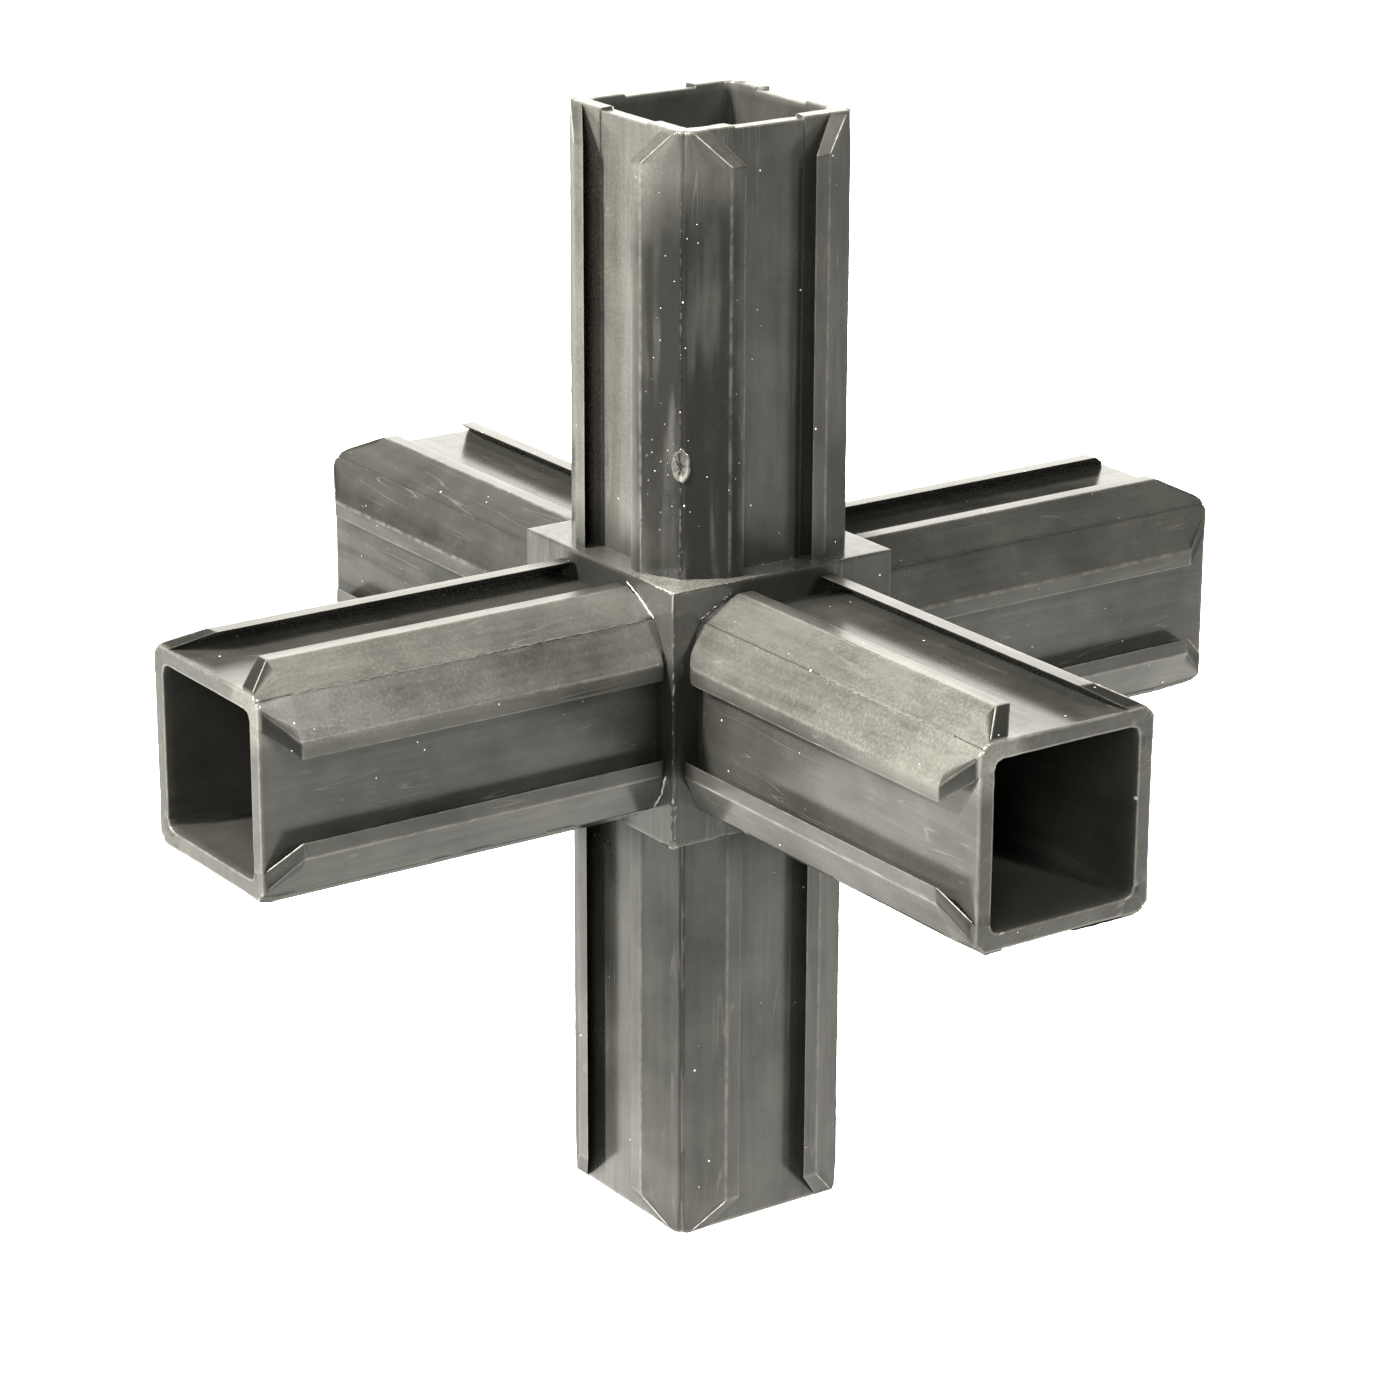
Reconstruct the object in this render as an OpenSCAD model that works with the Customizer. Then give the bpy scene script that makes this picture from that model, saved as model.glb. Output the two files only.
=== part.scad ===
// Cross tube connector: a cube-shaped hub with six hollow, ribbed legs at right angles.
// Each leg drives into a square tube, whose end then butts against the hub's face.
// Origin at the hub's centre, one leg along each axis, +Z up.

/* [Tube] */
// Outer width of the square tube, which the hub is flush with
tube_w = 25; // [22:0.5:40]
// Wall thickness of the square tube
tube_wall = 1.2; // [0.8:0.1:2]
// How much the ribs' span exceeds the tube's inside, so that they grip
rib_grip = 0.3; // [0:0.05:0.6]

/* [Hub] */
// Width of the bevel along the hub's edges
hub_bevel = 0.2; // [0.1:0.1:1]
// Thickness of plastic left between the bores of neighbouring legs
web = 1.6; // [1:0.1:3]

/* [Leg] */
// Length of each leg, from the hub's face to the leg's end
leg_len = 42; // [20:1:80]
// Clearance between the leg's core and the inside of the tube, on each side
core_gap = 1.7; // [1:0.1:2.2]
// Wall thickness of the hollow core
core_wall = 1.6; // [1.2:0.1:2.5]
// Radius of the bore's corners
bore_round = 1; // [0.3:0.1:2]
// Depth of the shallow panel between the ribs of the upper leg
panel_dip = 0.15; // [0.05:0.05:0.4]
// How much lower the upper leg's rim sits along the panel
rim_drop = 0.25; // [0.1:0.05:1]

/* [Ribs] */
// Distance from the core's edge to the outer side of a rib's root
rib_land = 0.75; // [0.5:0.05:1.2]
// Width of a rib at its root, on the core's face
rib_root_w = 2; // [1.4:0.1:2.5]
// Width of a rib at its tip
rib_tip_w = 1.6; // [0.8:0.1:1.8]
// How far a rib leans towards the middle of the side, from root to tip
rib_lean = 3.4; // [2:0.1:3.6]
// Length of the tapered lead-in at the end of the ribs
lead_in = 3.4; // [1:0.2:8]

/* [Hidden] */

// Half sizes, measured from a leg's centre line
hub_half = tube_w / 2;
tube_in_half = tube_w / 2 - tube_wall;
rib_half = tube_in_half + rib_grip / 2;
core_half = tube_in_half - core_gap;
bore_half = core_half - core_wall;
rib_rise = rib_half - core_half;

// Places along a leg, measured from the hub's centre
leg_end = hub_half + leg_len;
bore_floor = bore_half + web;

// Corners of a rib's section: distance from the middle of the side
root_out = core_half - rib_land;
root_in = root_out - rib_root_w;
tip_out = root_out - rib_lean;
tip_in = tip_out - rib_tip_w;
// The outer sides of two ribs run on until they meet at the leg's corner
corner = core_half - rib_land * rib_rise / (rib_lean + rib_rise);

// Overlap that fuses each shape to the next, and overrun of each cut
sink = core_wall / 2;
over = 1;
// Facets of the bore's corner arcs
arc_fn = 32;

function turned(p, angle) = [p[0] * cos(angle) - p[1] * sin(angle), p[0] * sin(angle) + p[1] * cos(angle)];

// Outline of one side from the leg's corner over a rib to the middle, its mirror image, and the other sides
module leg_outline(dip) {
    right = [
        [corner, corner],
        [tip_out, rib_half],
        [tip_in, rib_half],
        [root_in, core_half],
        [tip_in, core_half],
        [tip_in, core_half - dip]
    ];
    last = len(right) - (dip > 0 ? 1 : 3);
    side = [
        for (i = [0 : last]) right[i],
        for (i = [last : -1 : 1]) [-right[i][0], right[i][1]]
    ];
    polygon([for (angle = [0 : 90 : 270]) for (p = side) turned(p, angle)]);
}

module bore_section() {
    square([2 * bore_half, 2 * (bore_half - bore_round)], center = true);
    square([2 * (bore_half - bore_round), 2 * bore_half], center = true);
    for (x = [-1, 1], y = [-1, 1])
        translate([x * (bore_half - bore_round), y * (bore_half - bore_round)])
            circle(r = bore_round, $fn = arc_fn);
}

// Wedge that cuts the ends of one side's ribs down to the core's edge
module lead_in_cut() {
    reach = lead_in * (1 + over / rib_rise);
    rotate([90, 0, 0])
        linear_extrude(2 * hub_half, center = true)
            polygon([
                [core_half, leg_end],
                [rib_half + over, leg_end - reach],
                [rib_half + over, leg_end + over],
                [core_half, leg_end + over]
            ]);
}

// Shallow notches in the rim, as wide as the panels
module rim_cut() {
    for (angle = [0, 90])
        rotate([0, 0, angle])
            translate([-tip_in, -hub_half, leg_end - rim_drop])
                cube([2 * tip_in, tube_w, rim_drop + over]);
}

// One leg along +Z, from inside the hub to its tapered end
module leg(dip = 0) {
    difference() {
        translate([0, 0, hub_half - sink]) linear_extrude(leg_len + sink) leg_outline(dip);
        for (angle = [0 : 90 : 270]) rotate([0, 0, angle]) lead_in_cut();
        if (dip > 0) rim_cut();
    }
}

// Blind square bore of one leg, carried on into the hub
module bore() {
    translate([0, 0, bore_floor]) linear_extrude(leg_end - bore_floor + over) bore_section();
}

// Cube with its edges bevelled, as three crossed prisms
module hub_block() {
    intersection_for (turn = [[0, 0, 0], [90, 0, 0], [0, 90, 0]])
        rotate(turn)
            linear_extrude(tube_w, center = true)
                intersection() {
                    square(tube_w, center = true);
                    rotate(45) square((tube_w - hub_bevel) * sqrt(2), center = true);
                }
}

// Turns what points along +Z towards each of the other five directions
module other_ways() {
    for (tilt = [90, 180, 270]) rotate([tilt, 0, 0]) children();
    for (tilt = [90, 270]) rotate([0, tilt, 0]) children();
}

module connector() {
    color([0.2, 0.2, 0.19])
        difference() {
            union() {
                hub_block();
                leg(panel_dip);
                other_ways() leg();
            }
            bore();
            other_ways() bore();
        }
}

connector();
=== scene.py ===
# %% [markdown]
# # Cross connector for square tube
# This lesson rebuilds a moulded plastic connector that joins square tubes at right angles. It has a
# cube in the middle and six hollow legs, each with thin leaning ribs that grip the inside of a tube.
# The packed CAD model comes first: it is the frame that fixes every size and place.

# %% Load the frame
import math
import random
from collections import namedtuple

import bmesh
import bpy
from mathutils import Euler, Matrix, Vector, noise


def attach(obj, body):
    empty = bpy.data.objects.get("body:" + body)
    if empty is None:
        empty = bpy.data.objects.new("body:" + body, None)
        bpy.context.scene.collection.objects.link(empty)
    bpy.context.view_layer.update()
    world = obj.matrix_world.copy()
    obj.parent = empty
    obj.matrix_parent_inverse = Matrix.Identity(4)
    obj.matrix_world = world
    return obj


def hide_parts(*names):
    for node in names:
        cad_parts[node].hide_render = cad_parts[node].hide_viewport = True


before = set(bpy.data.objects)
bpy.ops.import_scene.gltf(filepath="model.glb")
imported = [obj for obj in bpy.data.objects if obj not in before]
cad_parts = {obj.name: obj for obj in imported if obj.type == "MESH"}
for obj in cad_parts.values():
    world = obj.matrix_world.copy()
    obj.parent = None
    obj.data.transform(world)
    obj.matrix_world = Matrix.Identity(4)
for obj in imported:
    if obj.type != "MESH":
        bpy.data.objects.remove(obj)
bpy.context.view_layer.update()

# %% [markdown]
# ## The sizes
# Blender works in metres here, and the part is measured in millimetres, so every size is written as
# a plain millimetre number times MM. The hub is as wide as the tube, and the ribs reach a little
# further than the tube's inside, which is what makes them grip.

# %% Name the sizes
MM = 0.001
hub_half = 12.5 * MM
leg_end = 54.5 * MM
core_half = 9.6 * MM
bore_half = 8.0 * MM
bore_round = 1.0 * MM
bore_floor = 9.6 * MM
rib_half = 11.45 * MM
rib_rise = rib_half - core_half
root_out = core_half - 0.75 * MM
root_in = root_out - 2.0 * MM
rib_lean = 3.4 * MM
tip_out = root_out - rib_lean
tip_in = tip_out - 1.6 * MM
lead_in = 3.4 * MM
corner = core_half - 0.75 * MM * rib_rise / (rib_lean + rib_rise)
print("rib tip from", round(tip_in / MM, 2), "to", round(tip_out / MM, 2), "mm")
print("corner at", round(corner / MM, 3), "mm")

# %% [markdown]
# ## The camera
# The photograph looks down on the part from the front right with a long lens. Its place was found by
# matching the part's corners, so it is set down here as a point, the way it looks, the way its right
# side points and a focal length. A camera looks along its own minus Z, and its plus X points right.

# %% Place the camera
def placed(name, data):
    """A new object in the scene that shows the data."""
    made = bpy.data.objects.new(name, data)
    bpy.context.collection.objects.link(made)
    return made


camera_place = Vector((323.93, -225.45, 133.61)) * MM
camera_forward = Vector((-0.77607, 0.53816, -0.32878)).normalized()
camera_right = Vector((0.56873, 0.82252, 0.00386))
camera_right = (camera_right - camera_forward * camera_right.dot(camera_forward)).normalized()
camera_up = camera_right.cross(camera_forward)
picture_side = 1400
focal_pixels = 4329.0
lens = bpy.data.cameras.new("camera")
lens.sensor_width = 36.0
lens.lens = focal_pixels / picture_side * lens.sensor_width
lens.clip_start = 0.01
camera = placed("camera", lens)
turn = Matrix((camera_right, camera_up, -camera_forward)).transposed().to_4x4()
camera.matrix_world = Matrix.Translation(camera_place) @ turn
bpy.context.scene.camera = camera
print("lens", round(lens.lens, 1), "mm, distance", round(camera_place.length, 3), "m")

# %% [markdown]
# ## Writing node trees as sums
# A node tree is easier to read as an expression than as a list of links. This small class wraps an
# output socket, so that `1 - mask * 2` adds its own Math nodes. Everything that is not plain
# arithmetic comes from one method, which takes a node's type, its settings and its sockets.

# %% Wrap a socket
class Wire:
    def __init__(self, socket):
        self.socket = socket

    @property
    def tree(self):
        return self.socket.id_data

    @classmethod
    def node(cls, tree, kind, settings=None, sockets=None, out=0):
        made = tree.nodes.new(kind)
        for name, value in (settings or {}).items():
            setattr(made, name, value)
        for key, value in (sockets or {}).items():
            if isinstance(value, Wire):
                tree.links.new(value.socket, made.inputs[key])
            else:
                made.inputs[key].default_value = value
        return cls(made.outputs[out])

    def math(self, operation, *others):
        values = {i: v for i, v in enumerate((self,) + others)}
        return Wire.node(self.tree, "ShaderNodeMath", {"operation": operation}, values)

    def __add__(self, other):
        return self.math("ADD", other)

    __radd__ = __add__

    def __sub__(self, other):
        return self.math("SUBTRACT", other)

    def __rsub__(self, other):
        return Wire.node(self.tree, "ShaderNodeMath", {"operation": "SUBTRACT"}, {0: other, 1: self})

    def __mul__(self, other):
        return self.math("MULTIPLY", other)

    def __truediv__(self, other):
        return self.math("DIVIDE", other)

    def __lt__(self, other):
        return self.math("LESS_THAN", other)

    def vector(self, operation, other, out=0):
        settings = {"operation": operation}
        return Wire.node(self.tree, "ShaderNodeVectorMath", settings, {0: self, 1: other}, out)

    def scaled(self, factor):
        settings = {"operation": "SCALE"}
        return Wire.node(self.tree, "ShaderNodeVectorMath", settings, {0: self, "Scale": factor})

    def axes(self):
        return [Wire.node(self.tree, "ShaderNodeSeparateXYZ", None, {0: self}, out=i) for i in range(3)]

    def ramp(self, low, high, first=0.0, last=1.0):
        """Goes smoothly from first, at or below low, to last, at or above high."""
        return Wire.node(
            self.tree, "ShaderNodeMapRange", {"interpolation_type": "SMOOTHSTEP"},
            {0: self, 1: low, 2: high, 3: first, 4: last},
        )

    def line(self, low, high, first=0.0, last=1.0):
        return Wire.node(self.tree, "ShaderNodeMapRange", {}, {0: self, 1: low, 2: high, 3: first, 4: last})

    def ends(self, kind, label):
        """Ends the tree with an output node of that kind, fed by this wire."""
        self.tree.links.new(self.socket, self.tree.nodes.new(kind).inputs[label])


print("wire ready:", [name for name in vars(Wire) if not name.startswith("_")])

# %% [markdown]
# ## One leg's outline
# On the real part each side of a leg has two ribs that lean towards the middle, and their outer
# sides run down to the leg's corner. A leg could be modelled by hand from a box, but its outline
# is the same all the way along, so it is written once as a list of corners with small radii. The
# same function gives the outline at the leg's very end, where the lead-in has cut the ribs away.

# %% Round the corners of a line
# An arc takes up at most this share of each side beside it
arc_share = 0.35


def rounded(points, radii, steps=2):
    """Replaces each inner corner of an open line by an arc, never longer than its sides allow."""
    line = [Vector(points[0])]
    for i in range(1, len(points) - 1):
        before, here, after = (Vector(points[i + j]) for j in (-1, 0, 1))
        to_before, to_after = before - here, after - here
        reach = min(radii[i], arc_share * to_before.length, arc_share * to_after.length)
        start, end = here + to_before.normalized() * reach, here + to_after.normalized() * reach
        for j in range(steps + 1):
            t = j / steps
            line.append((1 - t) ** 2 * start + 2 * t * (1 - t) * here + t ** 2 * end)
    line.append(Vector(points[-1]))
    return line


print("a rounded right angle has", len(rounded([(0, 0), (1, 0), (1, 1)], [0, 0.1, 0])), "points")

# %% Draw half a side
edge_round = 0.13 * MM
fillet = 0.22 * MM
seam_half = 0.11 * MM
ridge_far = 0.42 * MM
panel_edge = 0.03 * MM
# At the leg's end a rib keeps a trace of its rise, so that no faces fall together
rib_trace = 0.03
corner_cut = 0.14 * MM


def half_side(height):
    """From beside the leg's corner to the middle of a side. Height 1 is a full rib, 0 a trace of one."""
    keep = rib_trace + (1 - rib_trace) * height
    top = core_half + rib_rise * keep
    pulled = corner - corner_cut * (1 - height)
    share = (top - corner) / (rib_half - corner)
    apex = Vector((pulled, pulled))
    outer_tip = Vector((corner + (tip_out - corner) * share, top))
    inner_tip = Vector((root_in + (tip_in - root_in) * keep, top))
    root = Vector((root_in, core_half))
    slant = (outer_tip - apex).normalized()
    first = apex + slant * seam_half
    second = apex + slant * ridge_far
    rib = rounded([second, outer_tip, inner_tip, root, Vector((tip_in + panel_edge, core_half))],
                  [0, edge_round, edge_round, fillet, 0])
    return apex, first, rib


# Extra points between the rounded corners, counted on the full rib so that both outlines agree
longest_gap = 1.35 * MM
panel_middle = 0.45
full_rib = half_side(1.0)[2]
gaps = [max(1, math.ceil((b - a).length / longest_gap)) for a, b in zip(full_rib, full_rib[1:])]


def outline_half(height):
    apex, first, rib = half_side(height)
    line = [first, rib[0]]
    for a, b, parts in zip(rib, rib[1:], gaps):
        line += [a.lerp(b, (i + 1) / parts) for i in range(parts)]
    panel = [Vector((tip_in - panel_edge, core_half)), Vector((tip_in * panel_middle, core_half))]
    return apex, line, panel


print("gaps", gaps, "half a side has", len(outline_half(1.0)[1]) + 2, "points")

# %% [markdown]
# ## The leg's cage
# A hollow leg is one closed skin: up the outside, over the rim, down the bore and across its floor.
# Built ring by ring, all its faces but those at the two ends are four-sided, and no boolean is
# needed. Each vertex also carries what the node tree needs later: how far it drops when the ribs
# end, and whether it lies on the panel, the seam, the rim or a lip. Numbers stored on a mesh are
# called attributes.

# %% Walk round the leg's outline
# One place on the outline: its point on the full leg, at the leg's end, and what it belongs to
Station = namedtuple("Station", "full none side groove ridge panel", defaults=(0.0, 0.0, 0.0))


def spun(point, side):
    x, y = point
    return Vector([(x, y), (-y, x), (-x, -y), (y, -x)][side])


def whole_outline():
    apex, line, panel = outline_half(1.0)
    apex_end, line_end, panel_end = outline_half(0.0)
    half = [(p, q, 0.0) for p, q in zip(line, line_end)] + [(p, q, 1.0) for p, q in zip(panel, panel_end)]
    loop = []
    for side in range(4):
        # The moulding seam's rough ridge lies after the corner on the third side, before it elsewhere
        loop.append(Station(spun(apex, side), spun(apex_end, side), side, groove=1.0))
        for i, (p, q, flat) in enumerate(half):
            ridge = 1.0 if i < 2 and side == 2 else 0.0
            loop.append(Station(spun(p, side), spun(q, side), side, ridge=ridge, panel=flat))
        for i, (p, q, flat) in reversed(list(enumerate(half))):
            p, q = Vector((-p.x, p.y)), Vector((-q.x, q.y))
            ridge = 1.0 if i < 2 and side != 1 else 0.0
            loop.append(Station(spun(p, side), spun(q, side), side, ridge=ridge, panel=flat))
    return loop


outline = whole_outline()
print("points round a leg:", len(outline))

# %% Give each place of the outline its place on the bore
# Up to the first distance from a side's middle the bore is straight, up to the second it is round
bore_straight = 6.8 * MM
bore_corner = 9.2 * MM


def bore_point(station, inset=0.0):
    x, y = spun(station.none, (4 - station.side) % 4)
    flat_half = bore_half - inset - bore_round
    if abs(x) < bore_straight:
        flat = Vector((x * flat_half / bore_straight, bore_half - inset))
    else:
        angle = math.radians(45) * min(1.0, (abs(x) - bore_straight) / (bore_corner - bore_straight))
        across = flat_half + bore_round * math.sin(angle)
        flat = Vector((math.copysign(across, x), flat_half + bore_round * math.cos(angle)))
    return spun(flat, station.side)


print("bore point beside the first corner:", [round(v / MM, 2) for v in bore_point(outline[0])])

# %% Build the cage
# The rim stays a little below the CAD model's end, which leaves room for its raggedness
rim_top = leg_end - 0.1 * MM
leg_start = 8.3 * MM
# Heights of the outer rings in millimetres: close together where the ribs begin and where they end
near_hub = [8.3, 12.1, 12.52, 12.72, 12.82, 12.95, 13.2, 13.6, 14.1, 14.8]
plain_run = [15.6 + 0.9 * i for i in range(40)]
near_end = [51.02, 51.18, 51.7, 52.3, 52.9, 53.5, 54.0]
# Rings round the rim's two edges: how far below the rim and how far in, in millimetres, and how
# much of a lip
outer_lip = ((0.14, 0.0, 0.3), (0.05, 0.035, 0.8), (0.0, 0.12, 1.0))
inner_lip = ((0.0, -0.1, 1.0), (0.05, -0.03, 0.8), (0.16, 0.0, 0.3))
# Rings on the rim: how far across it they lie, between its outer and its inner edge
rim_shares = (0.12, 0.5, 0.88)
# Rings down the bore: height and how far in, in millimetres
bore_rings = [(53.4, 0), (50, 0), (44, 0), (36, 0), (28, 0), (20, 0), (12, 0), (10.4, 0), (9.8, 0.25),
              (9.6, 0.8)]
outer_heights = near_hub + plain_run + near_end


def leg_cage():
    rings = []
    for z in outer_heights:
        rings.append([(s.full.x, s.full.y, z * MM, 0, s) for s in outline])
    for drop, inset, lip in outer_lip:
        # The last rings are drawn on the short outline already, and pulled in to round the rim
        pull = 1 - inset * MM / core_half
        rings.append([(s.none.x * pull, s.none.y * pull, rim_top - drop * MM, lip, s) for s in outline])
    outer_in, inner_in = outer_lip[-1][1] * MM, inner_lip[0][1] * MM
    for share in rim_shares:
        ring = []
        for s in outline:
            a, b = s.none * (1 - outer_in / core_half), bore_point(s, inner_in)
            ring.append(((1 - share) * a.x + share * b.x, (1 - share) * a.y + share * b.y, rim_top, 0, s))
        rings.append(ring)
    for drop, inset, lip in inner_lip:
        rings.append([(*bore_point(s, inset * MM), rim_top - drop * MM, lip, s) for s in outline])
    for z, inset in bore_rings:
        rings.append([(*bore_point(s, inset * MM), z * MM, 0, s) for s in outline])
    return rings


rings = leg_cage()
outer_rings = len(outer_heights)
points_round = len(outline)
print("rings:", len(rings), "quads:", (len(rings) - 1) * points_round)

# %% Turn the cage into a mesh with attributes
def carry(mesh, name, values):
    """Keeps one number for each vertex under a name, or three for each in one long list."""
    kind, key = ("FLOAT", "value") if len(values) == len(mesh.vertices) else ("FLOAT_VECTOR", "vector")
    mesh.attributes.new(name, kind, "POINT").data.foreach_set(key, values)


def cage_mesh():
    points, faces = [], []
    extra = {name: [] for name in ("groove", "ridge", "panel", "lip", "rim", "top")}
    drops, inwards = [], []
    for i, ring in enumerate(rings):
        for x, y, z, lip, s in ring:
            points.append((x, y, z))
            outer = i < outer_rings
            rim = outer_rings <= i < len(rings) - len(bore_rings)
            skin = outer or rim and i < outer_rings + len(outer_lip)
            drops.append((*(s.none - s.full), 0) if outer else (0, 0, 0))
            inwards.append((*spun((0, -1), s.side), 0))
            extra["groove"].append(s.groove if skin else 0)
            extra["ridge"].append(s.ridge if skin else 0)
            extra["panel"].append(s.panel if skin else 0)
            extra["lip"].append(lip)
            extra["rim"].append(s.panel if rim else 0)
            extra["top"].append(1 if rim else 0)
    for i in range(len(rings) - 1):
        for j in range(points_round):
            a, b = i * points_round + j, i * points_round + (j + 1) % points_round
            faces.append((a, b, b + points_round, a + points_round))
    for i, z in ((0, leg_start), (len(rings) - 1, bore_floor)):
        points.append((0, 0, z))
        middle = len(points) - 1
        drops.append((0, 0, 0))
        inwards.append((0, 0, 0))
        for values in extra.values():
            values.append(0)
        for j in range(points_round):
            a, b = i * points_round + j, i * points_round + (j + 1) % points_round
            faces.append((b, a, middle) if i == 0 else (a, b, middle))
    mesh = bpy.data.meshes.new("leg_cage")
    mesh.from_pydata(points, [], faces)
    for name, values in extra.items():
        carry(mesh, name, values)
    for name, values in (("drop", drops), ("inward", inwards)):
        carry(mesh, name, [v for triple in values for v in triple])
    mesh.shade_smooth()
    mesh.update()
    return mesh


cage = cage_mesh()
print("cage:", len(cage.vertices), "points,", len(cage.polygons), "faces")

# %% [markdown]
# ## The leg as a node tree
# The six legs are the same moulding with small differences: only the upper one has dished panels and
# a notched rim, and each one is a little wavy in its own way. A node group turns the plain cage into
# a leg. Its sizes are named inputs, so one group can be used six times with other values.

# %% Start a geometry tree with named inputs
def new_tree(name, sizes):
    tree = bpy.data.node_groups.new(name, "GeometryNodeTree")
    tree.interface.new_socket("Geometry", in_out="INPUT", socket_type="NodeSocketGeometry")
    for label, value in sizes.items():
        socket = tree.interface.new_socket(label, in_out="INPUT", socket_type="NodeSocketFloat")
        socket.default_value = value
    tree.interface.new_socket("Geometry", in_out="OUTPUT", socket_type="NodeSocketGeometry")
    start = tree.nodes.new("NodeGroupInput")
    return tree, {socket.name: Wire(socket) for socket in start.outputs if socket.name}


def attribute(tree, name, kind="FLOAT"):
    return Wire.node(tree, "GeometryNodeInputNamedAttribute", {"data_type": kind}, {"Name": name})


def grain(tree, place, size, seed):
    """Smooth noise from about -1 to 1 whose bumps are about size across."""
    shifted = place.vector("ADD", Wire.node(tree, "ShaderNodeCombineXYZ", None, {0: seed, 1: 0.0, 2: 0.0}))
    sockets = {"Vector": shifted, "Scale": 1 / size, "Detail": 2.0}
    return (Wire.node(tree, "ShaderNodeTexNoise", None, sockets) - 0.5) * 2.6


print("tree helpers ready")

# %% Build the leg group
# Corner X and Corner Y pick the corner between the two ribs that are rubbed or stained, where rubbing comes
# with a painted highlight. Corner Y also picks the side whose middle gets painted shading
leg_sizes = {
    "Leg End": leg_end, "Lead In": lead_in, "Panel Depth": 0.0, "Rim Drop": 0.0, "Neck Gap": 0.3,
    "Rounded Rib": 0.0, "Wave": 0.03 * MM, "Flash": 0.06 * MM, "Seam Depth": 0.09 * MM, "Seed": 0.0,
    "Corner X": 1.0, "Corner Y": 1.0, "Rubbed And Lit": 0.0, "Stained": 0.0, "Painted Face Shading": 0.0, "Torn Rim": 0.04,
    "Painted Taper Shading": 0.9, "Chipped": 0.06 * MM,
}
lip_tear = 0.08


def stored(tree, geometry, name, value, kind="FLOAT"):
    """Keeps a value on the mesh under a name, for the material to read."""
    return Wire.node(tree, "GeometryNodeStoreNamedAttribute", {"data_type": kind, "domain": "POINT"},
                     {"Geometry": geometry, "Name": name, "Value": value})


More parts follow.
